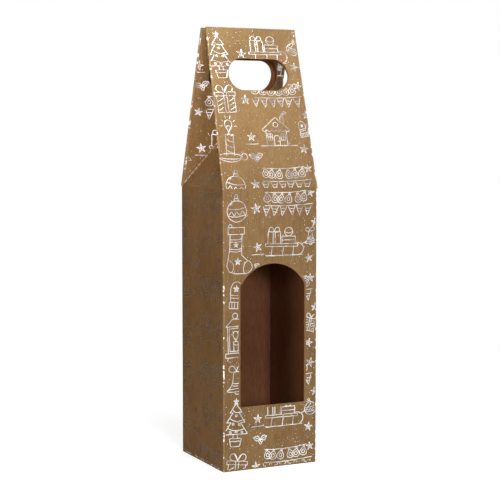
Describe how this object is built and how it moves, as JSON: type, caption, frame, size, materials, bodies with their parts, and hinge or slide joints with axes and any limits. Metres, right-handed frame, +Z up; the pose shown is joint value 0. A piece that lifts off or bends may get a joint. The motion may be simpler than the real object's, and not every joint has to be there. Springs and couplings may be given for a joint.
{
  "type": "wine gift box",
  "caption": "Tall square folding board carrier for one bottle, with an arched window, a gable top with gussets and a hand hole through the closed handle panels.",
  "frame": {"origin": "middle of the base, on the surface the box stands on", "axes": "+Z up, -Y out of the window, +X to the right seen from the window side"},
  "size_m": [0.09, 0.09, 0.381],
  "materials": {
    "printed_kraft": "natural brown kraft liner, matt, with silver foil line print",
    "plain_kraft": "natural brown kraft liner, matt, unprinted",
    "silver_foil": "silver hot-stamped foil, satin"
  },
  "bodies": {
    "carton": {"front_wall": "printed_kraft", "back_wall": "printed_kraft", "left_wall": "printed_kraft", "right_wall": "printed_kraft", "glue_flap": "plain_kraft", "bottom_slotted_flap": "printed_kraft", "bottom_left_flap": "printed_kraft", "bottom_right_flap": "printed_kraft", "bottom_tongue_flap": "printed_kraft"},
    "front_handle": {"front_handle_panel": "printed_kraft"},
    "back_handle": {"back_handle_panel": "printed_kraft"},
    "left_triangle": {"left_gusset_triangle": "printed_kraft"},
    "right_triangle": {"right_gusset_triangle": "printed_kraft"},
    "front_left_leaf": {"front_left_gusset_leaf": "printed_kraft"},
    "front_left_fin": {"front_left_gusset_fin": "printed_kraft"},
    "front_right_leaf": {"front_right_gusset_leaf": "printed_kraft"},
    "front_right_fin": {"front_right_gusset_fin": "printed_kraft"},
    "back_left_leaf": {"back_left_gusset_leaf": "printed_kraft"},
    "back_left_fin": {"back_left_gusset_fin": "printed_kraft"},
    "back_right_leaf": {"back_right_gusset_leaf": "printed_kraft"},
    "back_right_fin": {"back_right_gusset_fin": "printed_kraft"}
  },
  "joints": [
    {"name": "front_handle_fold", "type": "hinge", "parent": "carton", "child": "front_handle", "pos_m": [0, -0.045, 0.242], "axis": [1, 0, 0], "range_deg": [0, 10]},
    {"name": "back_handle_fold", "type": "hinge", "parent": "carton", "child": "back_handle", "pos_m": [0, 0.045, 0.242], "axis": [-1, 0, 0], "range_deg": [0, 10]},
    {"name": "left_triangle_fold", "type": "hinge", "parent": "carton", "child": "left_triangle", "pos_m": [-0.045, 0, 0.242], "axis": [0, -1, 0], "range_deg": [0, 7.5]},
    {"name": "right_triangle_fold", "type": "hinge", "parent": "carton", "child": "right_triangle", "pos_m": [0.045, 0, 0.242], "axis": [0, 1, 0], "range_deg": [0, 7.5]},
    {"name": "front_left_leaf_fold", "type": "hinge", "parent": "front_handle", "child": "front_left_leaf", "pos_m": [-0.045, -0.045, 0.242], "axis": [0.0208, 0.2854, 0.9582], "range_deg": [0, 19.3]},
    {"name": "front_left_fin_fold", "type": "hinge", "parent": "front_left_leaf", "child": "front_left_fin", "pos_m": [-0.00316, 0, 0.31019], "axis": [-0.4836, -0.0471, 0.874], "range_deg": [0, 20.6]},
    {"name": "front_right_leaf_fold", "type": "hinge", "parent": "front_handle", "child": "front_right_leaf", "pos_m": [0.045, -0.045, 0.242], "axis": [0.0208, -0.2854, -0.9582], "range_deg": [0, 19.3]},
    {"name": "front_right_fin_fold", "type": "hinge", "parent": "front_right_leaf", "child": "front_right_fin", "pos_m": [0.00316, 0, 0.31019], "axis": [-0.4836, 0.0471, -0.874], "range_deg": [0, 20.6]},
    {"name": "back_left_leaf_fold", "type": "hinge", "parent": "back_handle", "child": "back_left_leaf", "pos_m": [-0.045, 0.045, 0.242], "axis": [-0.0208, 0.2854, -0.9582], "range_deg": [0, 19.3]},
    {"name": "back_left_fin_fold", "type": "hinge", "parent": "back_left_leaf", "child": "back_left_fin", "pos_m": [-0.00316, 0, 0.31019], "axis": [0.4836, -0.0471, -0.874], "range_deg": [0, 20.6]},
    {"name": "back_right_leaf_fold", "type": "hinge", "parent": "back_handle", "child": "back_right_leaf", "pos_m": [0.045, 0.045, 0.242], "axis": [-0.0208, -0.2854, 0.9582], "range_deg": [0, 19.3]},
    {"name": "back_right_fin_fold", "type": "hinge", "parent": "back_right_leaf", "child": "back_right_fin", "pos_m": [0.00316, 0, 0.31019], "axis": [0.4836, 0.0471, 0.874], "range_deg": [0, 20.6]}
  ],
  "couplings": [
    {"joint": "back_handle_fold", "follows": "front_handle_fold", "ratio": 1},
    {"joint": "left_triangle_fold", "follows": "front_handle_fold", "ratio": 0.74},
    {"joint": "right_triangle_fold", "follows": "front_handle_fold", "ratio": 0.74},
    {"joint": "front_left_leaf_fold", "follows": "front_handle_fold", "ratio": 1.92},
    {"joint": "front_left_fin_fold", "follows": "front_handle_fold", "ratio": 2.05},
    {"joint": "front_right_leaf_fold", "follows": "front_handle_fold", "ratio": 1.92},
    {"joint": "front_right_fin_fold", "follows": "front_handle_fold", "ratio": 2.05},
    {"joint": "back_left_leaf_fold", "follows": "front_handle_fold", "ratio": 1.92},
    {"joint": "back_left_fin_fold", "follows": "front_handle_fold", "ratio": 2.05},
    {"joint": "back_right_leaf_fold", "follows": "front_handle_fold", "ratio": 1.92},
    {"joint": "back_right_fin_fold", "follows": "front_handle_fold", "ratio": 2.05}
  ]
}
